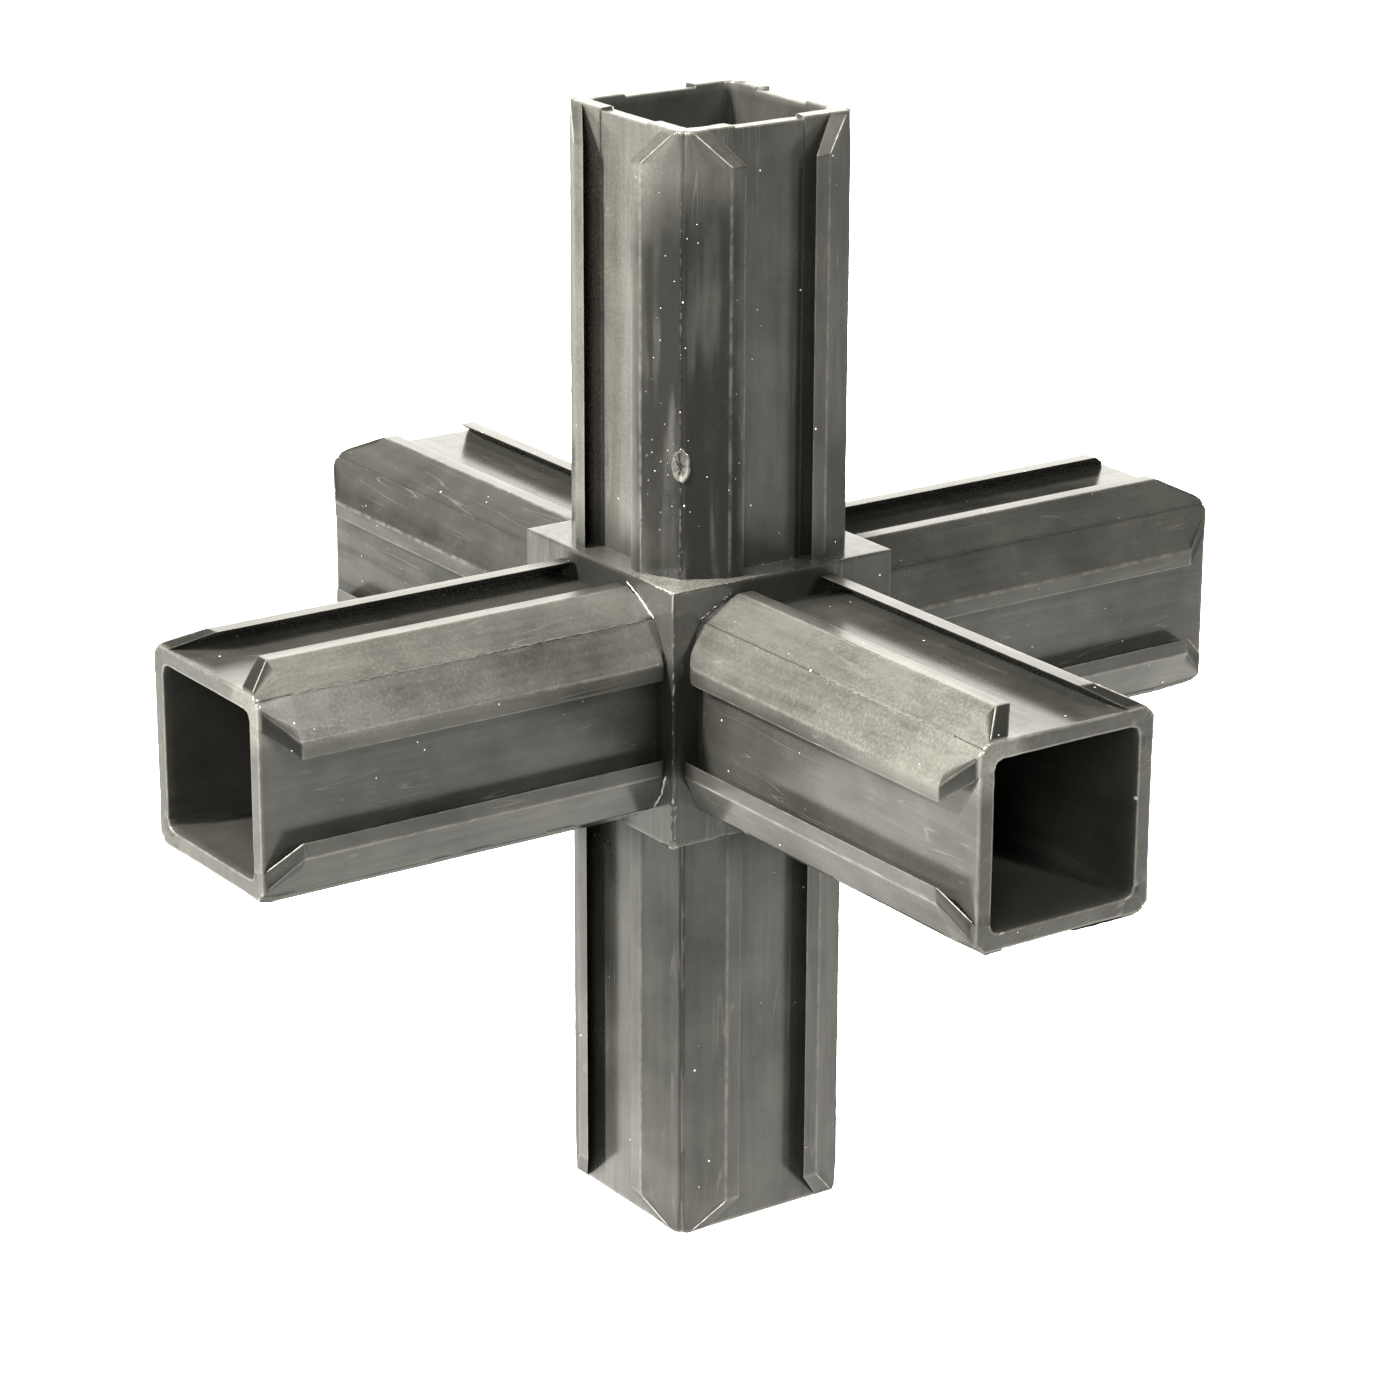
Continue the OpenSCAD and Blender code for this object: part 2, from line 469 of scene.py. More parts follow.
def leg_group():
    tree, size = new_tree("leg", leg_sizes)
    place = Wire.node(tree, "GeometryNodeInputPosition")
    x, y, z = place.axes()
    seed = size["Seed"]
    height = ((size["Leg End"] - z) / size["Lead In"]).line(0.03, 1.0, 0.03, 1.0)
    neck = z.ramp(12.73 * MM, 12.84 * MM, 1.0, 0.0) * size["Neck Gap"]
    # A quarter circle that rounds off the beginning of one rib
    away = z.line(12.8 * MM, 14.2 * MM, 1.0, 0.0)
    quarter = 1 - (1 - away * away).math("SQRT")
    rounded_here = (x < -1 * MM) * (y < -9.45 * MM) * quarter * size["Rounded Rib"]
    share = 1 - height * (1 - neck) * (1 - rounded_here)
    shape = attribute(tree, "drop", "FLOAT_VECTOR").scaled(share)
    panel = attribute(tree, "inward", "FLOAT_VECTOR").scaled(attribute(tree, "panel") * size["Panel Depth"])
    chips = grain(tree, place, 0.9 * MM, seed + 0.9).line(0.0, 1.0)
    chipped = attribute(tree, "lip") * chips * size["Chipped"]
    rim_fall = attribute(tree, "rim") * size["Rim Drop"] * -1 - chipped
    rim = Wire.node(tree, "ShaderNodeCombineXYZ", None, {0: 0.0, 1: 0.0, 2: rim_fall})
    offset = shape.vector("ADD", panel).vector("ADD", rim)
    start = Wire(tree.nodes["Group Input"].outputs["Geometry"])

    # Where the leg was rubbed or stained: on the two ribs beside one corner, more towards one end. The rubbed
    # ribs also carry a painted highlight that grows towards the outer end
    corner_x, corner_y = x * size["Corner X"], y * size["Corner Y"]
    beside = corner_x.ramp(4.4 * MM, 5.6 * MM) * corner_y.ramp(4.4 * MM, 5.6 * MM)
    worn_and_lit = size["Rubbed And Lit"] * z.ramp(16 * MM, 52 * MM, 0.6, 1.0)
    # The stain ends below the tip. It lies higher up on the rib of the one side than of the other
    first_side = (corner_x - corner_y).ramp(-1 * MM, 1 * MM)
    low_down = z.ramp(27 * MM, 36 * MM, 1.0, 0.4)
    half_way = z.ramp(15 * MM, 24 * MM, 0.45, 1.0) * z.ramp(38 * MM, 46 * MM, 1.0, 0.3)
    stain = low_down * first_side + half_way * (1 - first_side)
    below_tip = z.ramp(46 * MM, 51 * MM, 1.0, 0.0)
    stain = size["Stained"] * (stain * below_tip - z.ramp(42 * MM, 48 * MM, 0.0, 0.2))
    width, depth = x.math("ABSOLUTE"), y.math("ABSOLUTE")
    # The middle of the side that Corner Y picks gets painted shading: lighter for a positive value, darker
    # for a negative one
    front = corner_y.ramp(9.2 * MM, 9.4 * MM) * width.ramp(6.0 * MM, 7.4 * MM, 1.0, 0.0)
    taper_start = size["Leg End"] - size["Lead In"]
    taper = width.math("MAXIMUM", depth).ramp(11.2 * MM, 11.4 * MM)
    taper = taper * z.ramp(taper_start - 0.1 * MM, taper_start + 0.1 * MM)
    tone = beside * (worn_and_lit - stain) + front * size["Painted Face Shading"]
    # Painted shading on the tapered ends of the ribs: darker for a positive value, lighter for a negative one
    start = stored(tree, start, "tone", tone * (1 - taper) - taper * size["Painted Taper Shading"])
    torn = attribute(tree, "top") * size["Torn Rim"] + attribute(tree, "lip") * lip_tear
    start = stored(tree, start, "torn", torn)
    start = stored(tree, start, "skin", place, "FLOAT_VECTOR")
    start = stored(tree, start, "seed", seed)
    start = stored(tree, start, "leg", 1.0)
    shaped = Wire.node(tree, "GeometryNodeSetPosition", None, {"Geometry": start, "Offset": offset})

    normal = Wire.node(tree, "GeometryNodeInputNormal")
    swell = grain(tree, place, 9 * MM, seed) * size["Wave"]
    swell = swell + grain(tree, place, 2.6 * MM, seed) * size["Wave"] * 0.3
    ridge = attribute(tree, "ridge") * grain(tree, place, 0.7 * MM, seed + 0.3).line(-0.5, 0.8)
    groove = attribute(tree, "groove") * grain(tree, place, 3.0 * MM, seed + 0.5).line(-1.0, 0.3, 0.35, 1.0)
    ragged = attribute(tree, "lip") * grain(tree, place, 0.8 * MM, seed + 0.7)
    out = swell + ridge * size["Flash"] - groove * size["Seam Depth"] + ragged * size["Flash"]
    moved = {"Geometry": shaped, "Offset": normal.scaled(out)}
    roughened = Wire.node(tree, "GeometryNodeSetPosition", None, moved)
    roughened.ends("NodeGroupOutput", "Geometry")
    return tree


leg_tree = leg_group()
print("leg group:", len(leg_tree.nodes), "nodes")

# %% [markdown]
# The whole connector is that group six times, each with its own values and turned its own way. The
# tree ends by making real faces of everything and giving them the plastic.

# %% Describe the six legs
quarter_turn = math.radians(90)
legs = {
    "up": ((0, 0, 0), {"Panel Depth": 0.15 * MM, "Rim Drop": 0.25 * MM, "Seed": 1.0, "Flash": 0.09 * MM,
                       "Neck Gap": 0.0, "Corner Y": -1.0, "Stained": 1.5, "Painted Taper Shading": -0.4,
                       "Painted Face Shading": 0.5, "Torn Rim": 0.0, "Chipped": 0.1 * MM}),
    "down": ((2 * quarter_turn, 0, 0), {"Seed": 2.0, "Neck Gap": 0.0, "Painted Taper Shading": 0.3}),
    "front": ((quarter_turn, 0, 0), {"Seed": 3.0, "Seam Depth": 0.14 * MM, "Rubbed And Lit": 0.63,
                                     "Torn Rim": 0.0}),
    "back": ((-quarter_turn, 0, 0), {"Seed": 4.0, "Stained": 0.6}),
    "right": ((0, quarter_turn, 0), {"Seed": 5.0, "Neck Gap": 0.45, "Rounded Rib": 0.6,
                                     "Corner X": -1.0, "Corner Y": -1.0, "Rubbed And Lit": 0.75,
                                     "Torn Rim": 0.0}),
    "left": ((0, -quarter_turn, 0), {"Seed": 6.0, "Corner Y": -1.0, "Painted Face Shading": -0.42}),
}
print("legs:", ", ".join(legs))

# %% Build the tree of six legs
def connector_tree(plastic):
    tree, size = new_tree("six_legs", {"Merge Distance": 0.001 * MM})
    start = Wire(tree.nodes["Group Input"].outputs["Geometry"])
    join = tree.nodes.new("GeometryNodeJoinGeometry")
    for name, (angles, values) in legs.items():
        group = tree.nodes.new("GeometryNodeGroup")
        group.node_tree = leg_tree
        group.label = name
        tree.links.new(start.socket, group.inputs["Geometry"])
        for label, value in values.items():
            group.inputs[label].default_value = value
        turned = Wire.node(tree, "GeometryNodeTransform", None,
                           {"Geometry": Wire(group.outputs["Geometry"]), "Rotation": angles})
        tree.links.new(turned.socket, join.inputs["Geometry"])
    merged = Wire.node(tree, "GeometryNodeMergeByDistance", None,
                       {"Geometry": Wire(join.outputs["Geometry"]), "Distance": size["Merge Distance"]})
    real = Wire.node(tree, "GeometryNodeRealizeInstances", None, {"Geometry": merged})
    painted = Wire.node(tree, "GeometryNodeSetMaterial", None, {"Geometry": real, "Material": plastic})
    painted.ends("NodeGroupOutput", "Geometry")
    return tree


print("tree of six legs ready to build")

# %% Turn a node tree's result into a plain mesh
def made_real(name, mesh, tree):
    """Runs the tree on the mesh and returns an object that holds the result, with no modifier left."""
    holder = placed(name + "_cage", mesh)
    modifier = holder.modifiers.new("nodes", "NODES")
    modifier.node_group = tree
    evaluated = holder.evaluated_get(bpy.context.evaluated_depsgraph_get())
    result = bpy.data.meshes.new_from_object(evaluated)
    result.name = name
    bpy.data.objects.remove(holder)
    return placed(name, result)


print("maker ready")

# %% [markdown]
# ## The hub
# The hub is a plain cube on the real part, with edges left almost sharp by the mould. The legs'
# bores run on into it, so a closed cube would show as a lid inside each bore. Here a cube gets
# narrow bevels and a square pocket in each face, whose walls are hidden inside the legs' walls.

# %% Build the hub
hub_bevel = 0.16 * MM
pocket_half = 8.8 * MM
pocket_floor = 9.0 * MM
# Edges longer than this are cut into many, so that the surface's attributes have places to lie on
long_edge = 2 * MM
hub_cuts = 14
# The top is painted lighter around the corner that stands out between two legs: painted light
proud_corner = Vector((hub_half, -hub_half, hub_half))
top_light_start = 1.3
top_light_reach = 14 * MM
flat_within = 0.01 * MM


def mesh_from(bm, name):
    mesh = bpy.data.meshes.new(name)
    bm.to_mesh(mesh)
    bm.free()
    return mesh


def hub_mesh():
    bm = bmesh.new()
    bmesh.ops.create_cube(bm, size=2 * hub_half)
    bmesh.ops.bevel(bm, geom=list(bm.edges), offset=hub_bevel, segments=2, affect="EDGES", profile=0.6)
    faces = [f for f in bm.faces if f.calc_area() > (2 * pocket_half) ** 2]
    border = hub_half - hub_bevel - pocket_half
    bmesh.ops.inset_individual(bm, faces=faces, thickness=border, use_even_offset=True)
    for face in faces:
        out = face.normal.copy()
        pushed = bmesh.ops.extrude_face_region(bm, geom=[face])
        corners = [g for g in pushed["geom"] if isinstance(g, bmesh.types.BMVert)]
        bmesh.ops.translate(bm, verts=corners, vec=-out * (hub_half - pocket_floor))
        bm.faces.remove(face)
    long_edges = [e for e in bm.edges if e.calc_length() > long_edge]
    bmesh.ops.subdivide_edges(bm, edges=long_edges, cuts=hub_cuts, use_grid_fill=True)
    bmesh.ops.recalc_face_normals(bm, faces=bm.faces)
    mesh = mesh_from(bm, "hub")
    places = [v.co.copy() for v in mesh.vertices]
    carry(mesh, "skin", [c for p in places for c in p])
    lightened = [max(0.0, top_light_start - (p - proud_corner).length / top_light_reach) for p in places]
    lightened = [rub if p.z > hub_half - flat_within else 0.0 for rub, p in zip(lightened, places)]
    carry(mesh, "tone", lightened)
    mesh.shade_smooth()
    return mesh


hub_plain = hub_mesh()
print("hub:", len(hub_plain.vertices), "points,", len(hub_plain.polygons), "faces")

# %% [markdown]
# ## The plastic
# The part is dark grey plastic with a satin skin. It isn't one even colour: it has soft clouds, fine
# streaks along each leg where it slid out of the mould, rubbed ribs with a bright grain, pale edges,
# thin scuffs and specks of dust. The bright grain and the pale edges are partly painted highlights.
# Shade is painted beside the hub, in the seam and on the ribs' tapered ends, and light on the hub's
# top; the middles of some sides are painted lighter and some darker. A photograph of the surface
# would tie the look to one picture, so every layer is worked out from noise in the coordinates that
# each leg carries with it.

# %% Name the plastic's colours
plastic_dark = (0.0085, 0.0083, 0.0075, 1)
plastic_grey = (0.036, 0.0353, 0.0320, 1)
# Paler grey for rubbed plastic and for painted highlights
rubbed_and_highlight_grey = (0.105, 0.103, 0.094, 1)
# Pale for torn plastic, and for the painted highlights of pale threads
plastic_torn = (0.42, 0.415, 0.385, 1)
dust_white = (0.72, 0.71, 0.66, 1)
# Black for real stain and for painted shade
stain_and_shade_black = (0.003, 0.003, 0.0026, 1)


def mixed(amount, low, high):
    """Blends two colours, which a Math node would turn grey."""
    sockets = {0: amount, 6: low, 7: high}
    return Wire.node(amount.tree, "ShaderNodeMix", {"data_type": "RGBA"}, sockets, out=2)


print("plastic from", plastic_dark[:3], "to", plastic_grey[:3])

# %% Mix the plastic
def plastic_material():
    made = bpy.data.materials.new("grey_plastic")
    made.use_nodes = True
    tree = made.node_tree
    tree.nodes.clear()

    def layer(name, out=2):
        return Wire.node(tree, "ShaderNodeAttribute", {"attribute_name": name}, out=out)

    skin = layer("skin", out=1)
    seed = layer("seed")
    apart = Wire.node(tree, "ShaderNodeCombineXYZ", None, {0: seed * 0.1, 1: seed * 0.07, 2: 0.0})
    own_place = skin.vector("ADD", apart)
    along_axes = skin.axes()
    x, y, z = (part.math("ABSOLUTE") for part in along_axes)

    def cloud(size, detail=2.0, rough=0.55, along=1.0, shift=0.0):
        """Noise from 0 to 1 with spots about size across, drawn out along the leg if along is below 1."""
        spot = Wire.node(tree, "ShaderNodeMapping", {"vector_type": "POINT"},
                         {"Vector": own_place, "Location": (shift, shift, shift), "Scale": (1, 1, along)})
        return Wire.node(tree, "ShaderNodeTexNoise", None,
                         {"Vector": spot, "Scale": 1 / size, "Detail": detail, "Roughness": rough})

    clouds = cloud(9 * MM, 4.0, 0.6)
    streaks = cloud(0.9 * MM, 3.0, 0.6, along=0.07, shift=0.31)
    long_streaks = cloud(2.6 * MM, 2.0, 0.6, along=0.10, shift=0.17)
    fine = cloud(0.32 * MM, 2.0, 0.7, shift=0.53)

    def specks(spacing, low, high):
        """Round specks, one in the middle of each cell of a pattern of cells about spacing wide."""
        cells = Wire.node(tree, "ShaderNodeTexVoronoi", {"feature": "F1"},
                          {"Vector": own_place, "Scale": 1 / spacing})
        return cells.line(low, high, 1.0, 0.0)

    tone = layer("tone")
    # The distances from a leg's middle, whichever of its sides a point lies on
    low, high = x.math("MINIMUM", y), x.math("MAXIMUM", y)
    inside = high.line(8.1 * MM, 8.3 * MM, 1.0, 0.0)
    # Painted shade darkens each leg beside the hub between its ribs, and the hub near the middles of its
    # lower edges
    on_leg = layer("leg")
    nearest = low.math("MINIMUM", z)
    middle = x + y + z - nearest - high.math("MAXIMUM", z)
    leg_painted_shade = z.line(11.5 * MM, 17.5 * MM, 1.0, 0.0) * low.ramp(5.2 * MM, 6.6 * MM, 1.0, 0.0) * on_leg
    hub_painted_shade = nearest.ramp(3.6 * MM, 6.6 * MM, 1.0, 0.0) * middle.ramp(9.3 * MM, 9.8 * MM) * (1 - on_leg)
    hub_painted_shade = hub_painted_shade * along_axes[2].ramp(12.0 * MM, 12.4 * MM, 1.0, 0.1)
    painted_shade = leg_painted_shade + hub_painted_shade
    # A pale line, partly edge wear and partly a painted highlight, runs along the two rounded edges of each
    # rib's tip, and round the rim
    tip_lines = [((low - tip) * (low - tip) + (high - rib_half) * (high - rib_half)).math("SQRT")
                 for tip in (tip_out, tip_in)]
    edge = tip_lines[0].math("MINIMUM", tip_lines[1]).line(0.10 * MM, 0.24 * MM, 1.0, 0.0)
    edge = edge.math("MAXIMUM", layer("lip"))
    groove = layer("groove")
    # Positive tone lightens: rubbing with a painted highlight on the ribs, and painted light on the hub's top
    # and some sides. Negative tone darkens: real stain, and painted shade on the tapered ends and some sides
    lightened = tone.math("MAXIMUM", 0.0)
    stained_and_shaded = (tone * -1).math("MAXIMUM", 0.0)

    # How light the plastic is, from 0 to 1
    light = 0.5 + (clouds - 0.5) * 1.2 + (streaks - 0.5) * 0.45 + (fine - 0.5) * 0.12
    light = light - stained_and_shaded * (long_streaks.line(0.36, 0.62, 0.1, 1.5) + (streaks - 0.5) * 2) * 0.75
    tint = mixed(light.line(0.0, 1.0), plastic_dark, plastic_grey)
    stain_marks = stained_and_shaded * (long_streaks.line(0.38, 0.58, 0.15, 1.0) + (streaks - 0.5) * 2)
    tint = mixed((stain_marks * 0.7).line(0.0, 1.0), tint, stain_and_shade_black)
    # Painted highlight over real wear: the lightened places turn paler, with a bright grain that paints
    # sparkle
    grain = fine.ramp(0.42, 0.7)
    sheen = lightened * (0.5 + lightened * grain * 0.5 + (clouds - 0.5) * 1.1 + (streaks - 0.5) * 0.7)
    tint = mixed(sheen.line(0.0, 1.0), tint, rubbed_and_highlight_grey)

    # Thin scuffs follow the lines where a noise passes through its middle, inside a few patches
    scuff_paths = cloud(1.7 * MM, 3.0, 0.65, along=0.6, shift=0.77)
    scuff_line = (scuff_paths - 0.5).math("ABSOLUTE").line(0.001, 0.009, 1.0, 0.0)
    scuffs = scuff_line * cloud(6 * MM, 1.0, shift=0.91).ramp(0.53, 0.66) * (1 - inside)
    # Long scratches run almost along the leg, in the direction it slid
    scratch_paths = cloud(1.3 * MM, 1.0, 0.5, along=0.05, shift=0.37)
    scratches = (scratch_paths - 0.5).math("ABSOLUTE").line(0.002, 0.012, 1.0, 0.0)
    scratches = scratches * cloud(4 * MM, 1.0, along=0.5, shift=0.11).ramp(0.5, 0.62) * (1 - inside)
    # Single grains of dust lie all over, and crumbs of it in a few patches
    dust_here = (cloud(1.6 * MM, 0.0, shift=0.63) + stained_and_shaded * 0.12).ramp(0.5, 0.6)
    dust = specks(2.3 * MM, 0.028, 0.05) * dust_here
    worn_and_lit_edge = edge * cloud(1.3 * MM, 2.0, shift=0.43).ramp(0.35, 0.65, 0.25, 1.0)
    wear_and_highlight = worn_and_lit_edge * 0.42 + scuffs * 0.1 + scratches * (0.3 - stained_and_shaded * 0.25)
    tint = mixed(wear_and_highlight.line(0.0, 1.0), tint, rubbed_and_highlight_grey)
    # Painted shade: the seam's groove is darkened
    tint = mixed((groove * 0.8).line(0.0, 1.0), tint, plastic_dark)
    torn = layer("torn") * cloud(0.9 * MM, 2.0, shift=0.21).ramp(0.3, 0.6, 0.6, 1.0)
    # Painted shade goes towards black, and so do threads with a negative paleness, which are painted shade
    # too
    tint = mixed((painted_shade * 0.85 - torn * 3).line(0.0, 1.0), tint, stain_and_shade_black)
    tint = mixed(torn.line(0.0, 1.0), tint, plastic_torn)
    crumbs_here = (cloud(5 * MM, 1.0, shift=0.57) + stained_and_shaded * 0.3).ramp(0.58, 0.66)
    crumbs = specks(1.2 * MM, 0.03, 0.05) * crumbs_here
    dust = dust.math("MAXIMUM", crumbs * 0.7) * (1 - inside)
    tint = mixed(dust, tint, dust_white)

    rough = 0.25 + (clouds - 0.5) * 0.25 + (fine - 0.5) * 0.1 + sheen * 0.05
    rough = rough + stain_marks * 0.2 + dust * 0.4 + painted_shade * 0.25 + inside * 0.1
    height = fine * (0.25 + sheen * 0.6) + streaks * 0.3 + clouds * 0.8 + scuffs * 0.05 - scratches * 0.5
    bump = Wire.node(tree, "ShaderNodeBump", None,
                     {"Strength": 0.4, "Distance": 0.02 * MM, "Height": height})
    # Handled plastic is polished: a thin coat gives it more gloss than the stained parts, and less where
    # shade is painted
    polish = 0.68 + (streaks - 0.5) * 0.62 + (clouds - 0.5) * 0.8 + sheen * 0.75
    polish = polish - stain_marks * 0.9 - painted_shade * 0.8 - inside * 0.15
    shader = Wire.node(tree, "ShaderNodeBsdfPrincipled", None,
                       {"Base Color": tint, "Roughness": rough.line(0.12, 0.8, 0.12, 0.8), "Normal": bump,
                        "Specular IOR Level": 0.22, "Coat Weight": polish.line(0.0, 1.0),
                        "Coat Roughness": 0.2, "Coat IOR": 1.45})
    shader.ends("ShaderNodeOutputMaterial", "Surface")
    return made


plastic = plastic_material()
print("plastic:", len(plastic.node_tree.nodes), "nodes")

# %% [markdown]
# ## Flash and burrs
# Where the parts of the mould meet, a little plastic creeps between them. It stays on the part as
# fine threads, and as burrs where an edge broke. They could be painted on, but they catch the light
# because they are round, so each thread is a thin closed tube along a path, half sunk in the surface,
# with a width that changes at random. The pale threads on the lead-ins carry a painted highlight, and
# the black threads in crevices and in the gate's crack are painted shade. Crumbs of dirt are made like
# the burrs.

# %% Sweep a thread of flash
def thread(bm, path, out, radius, dice, ragged=0.5):
    """A closed tube along the path. Its sides face out, the way the surface under it faces."""
    tube_sides = 6
    rings = []
    for i, spot in enumerate(path):
        along = (path[min(i + 1, len(path) - 1)] - path[max(i - 1, 0)]).normalized()
        side = along.cross(out).normalized()
        width = radius * (1 - ragged * dice.random()) * (0.35 if i in (0, len(path) - 1) else 1)
        turns = [math.radians(360) * j / tube_sides for j in range(tube_sides)]
        rings.append([bm.verts.new(spot + (side * math.cos(a) + out * math.sin(a)) * width) for a in turns])
    for a, b in zip(rings, rings[1:]):
        for j in range(tube_sides):
            after = (j + 1) % tube_sides
            bm.faces.new((a[j], a[after], b[after], b[j]))
    bm.faces.new(list(reversed(rings[0])))
    bm.faces.new(rings[-1])


def path_between(corners, step, dice, wobble=0.0):
    """Points about step apart along a line of corners, each off it by up to wobble."""
    path = []
    for a, b in zip(corners, corners[1:]):
        parts = max(2, round((b - a).length / step))
        path += [a.lerp(b, i / parts) for i in range(parts)]
    path.append(corners[-1])
    return [p + Vector([dice.uniform(-wobble, wobble) for _ in range(3)]) for p in path]


def make_pale(bm, paleness, value):
    """Gives the value to every vertex that was made since the last call."""
    paleness += [value] * (len(bm.verts) - len(paleness))


one_millimetre = [Vector(), Vector((MM, 0, 0))]
print("a path of 1 mm has", len(path_between(one_millimetre, 0.25 * MM, random.Random(1))), "points")

# %% Edge every lead-in with flash
# How wide a thread is in millimetres, and how pale. The pale one is a painted highlight on an edge that faces
# the light
lit_pale_thread = (0.08, 0.4)
unlit_dark_thread = (0.03, 0.04)
# The threads stop a little before the leg's end, where this share of the rib is left
taper_steps = 10
taper_left = 0.12
# In a side's rounded line: the middle of the arc at the rib's outer tip, and at its inner one
outer_tip_index, inner_tip_index = 2, 5


def lead_in_threads(bm, dice, paleness):
    """The mould for the tapered ends is a loose piece, so both edges of each taper carry a thread.

    The one on the outer edge is thick and pale, but on a rib that hangs it is the inner one, and on a
    rib that stands up both are thin and dark. The paleness marks the edge that faces the light: a
    painted highlight.
    """
    count = 0
    for angles, _ in legs.values():
        turned = Euler(angles).to_matrix()
        for side in range(4):
            for mirror in (1, -1):
                rise = (turned @ Vector((*spun(Vector((mirror, 0)), side), 0))).z
                for along_tip in (True, False):
                    # The edge that faces the light gets the pale thread: a painted highlight
                    pale = rise < 0.5 and along_tip != (rise < -0.5)
                    radius, paler = lit_pale_thread if pale else unlit_dark_thread
                    path = []
                    for i in range(taper_steps + 1):
                        height = 1 - (1 - taper_left) * i / taper_steps
                        rib = half_side(height)[2]
                        spot = rib[outer_tip_index if along_tip else inner_tip_index]
                        x, y = spun(Vector((mirror * spot.x, spot.y)), side)
                        path.append(turned @ Vector((x, y, leg_end - lead_in * height)))
                    out = turned @ Vector((*spun(Vector((0, 1)), side), 0.4)).normalized()
                    thread(bm, path, out, radius * MM, dice)
                    make_pale(bm, paleness, paler)
                    count += 1
    return count


print("threads on the lead-ins:", len(legs) * 4 * 2 * 2)

# %% List the threads and burrs in single places
# Each: where it runs in millimetres, the way it faces, how thick it is, how far it strays, how pale.
# A negative paleness makes a thread black: painted shade in crevices beside the hub and along its lower edges
hub_threads = [
    ([(4.75, -12.5, 11.75), (7.0, -12.5, 10.7), (9.33, -12.5, 9.3)], (-0.3, -1, 0.5), 0.1, 0.03, 1.0),
    ([(9.35, -12.5, -9.2), (10.6, -12.5, -7.6), (11.34, -12.5, -5.5)], (0.3, -1, 0.3), 0.13, 0.05, 0.7),
    ([(9.3, -12.42, 12.45), (11.0, -12.45, 12.46), (12.2, -12.42, 12.45)], (0, -0.7, 0.7), 0.09, 0.06, 0.5),
    ([(12.36, -12.36, 12.2), (12.38, -12.38, 9.0), (12.4, -12.4, 4.0), (12.38, -12.38, -4.0),
      (12.36, -12.36, -7.5)], (0.7, -0.7, 0), 0.12, 0.04, 0.12),
    ([(12.36, -12.36, -7.5), (12.42, -12.36, -9.0), (12.34, -12.4, -10.5), (12.38, -12.34, -12.0)],
     (0.7, -0.7, 0), 0.36, 0.03, 0.07),
    ([(12.42, -11.8, 12.42), (12.42, -8.0, 12.45), (12.42, -3.0, 12.42)], (0.7, 0, 0.7), 0.06, 0.03, 0.2),
    ([(9.4, -12.44, 9.3), (9.7, -12.44, 8.5), (11.4, -12.44, 5.6), (11.45, -12.44, 3.9)],
     (0.3, -1, 0), 0.15, 0.01, -1.0),
    ([(12.4, -5.8, 11.6), (12.4, -9.35, 9.55), (12.4, -11.5, 5.6), (12.4, -11.5, 4.0)],
     (1, -0.3, 0), 0.2, 0.01, -1.0),
    ([(7.9, -12.4, -12.42), (9.6, -12.4, -12.44)], (0, -0.7, -0.7), 0.1, 0.02, -1.0),
    ([(10.3, -12.42, -12.44), (12.1, -12.42, -12.44)], (0, -0.7, -0.7), 0.12, 0.02, -1.0),
    ([(12.42, -7.8, -12.42), (12.42, -5.9, -12.42)], (0.7, 0, -0.7), 0.1, 0.02, -1.0),
    ([(31.0, -9.33, 9.33), (36.0, -9.38, 9.34), (44.0, -9.34, 9.38), (50.5, -9.35, 9.35)],
     (0, -0.7, 0.7), 0.24, 0.03, 0.1),
    ([(9.35, -13.5, 9.33), (9.33, -25.0, 9.35), (9.36, -38.0, 9.33), (9.34, -51.0, 9.34)],
     (0.7, 0, 0.7), 0.11, 0.04, 0.12),
    ([(9.07, -9.35, 13.0), (9.07, -9.36, 21.5)], (0.7, -0.7, 0), 0.21, 0.02, 0.02),
    ([(9.07, -9.36, 25.5), (9.08, -9.35, 38.0), (9.07, -9.36, 50.5)], (0.7, -0.7, 0), 0.2, 0.02, 0.01),
]
# Each: its place in millimetres, how wide it is, how pale
burrs = [
    ((11.9, -12.38, 12.44), 0.24, 0.6),
    ((12.25, -12.3, 12.4), 0.3, 0.6),
    ((11.2, -12.42, 12.45), 0.16, 0.6),
    ((12.3, -12.3, 11.2), 0.16, 0.5),
    ((12.3, -12.3, -12.15), 1.0, 0.22),
    ((54.2, 8.0, 1.2), 0.4, 0.6),
]
print("single threads:", len(hub_threads), "burrs:", len(burrs))

# %% Crumple a burr
crumple_depth = 0.35
crumple_size = 1.4


def burr(bm, spot, radius, dice):
    """A small crumpled lump."""
    made = bmesh.ops.create_icosphere(bm, subdivisions=2, radius=radius)
    for vert in made["verts"]:
        shift = Vector([dice.random() * 9] * 3)
        vert.co *= 1 + crumple_depth * noise.noise(vert.co * (crumple_size / radius) + shift)
        vert.co += spot


print("a burr is crumpled by", crumple_depth, "of its radius at most")

# %% Make the scar of the gate
# The stub where the plastic was let into the mould broke off here, and left an oval scar
gate_place = Vector((9.34, -9.34, 23.4)) * MM
gate_wide, gate_tall = 0.85 * MM, 1.55 * MM
gate_left = -0.2 * MM
# Rings from its middle to below the skin: share of its size, how far it stands out in millimetres
gate_profile = [(0.0, 0.02), (0.3, 0.03), (0.55, 0.04), (0.72, 0.12), (0.84, 0.2), (0.94, 0.17), (1.04, 0.02),
                (1.1, -0.2)]
gate_steps = 28
# The rim is highest this far round from the right, in radians, and sinks to this share elsewhere
gate_high_at, gate_low_share = -0.8, 0.35
# The rim's rings are those that rise more than this
gate_rim_rise = 0.1
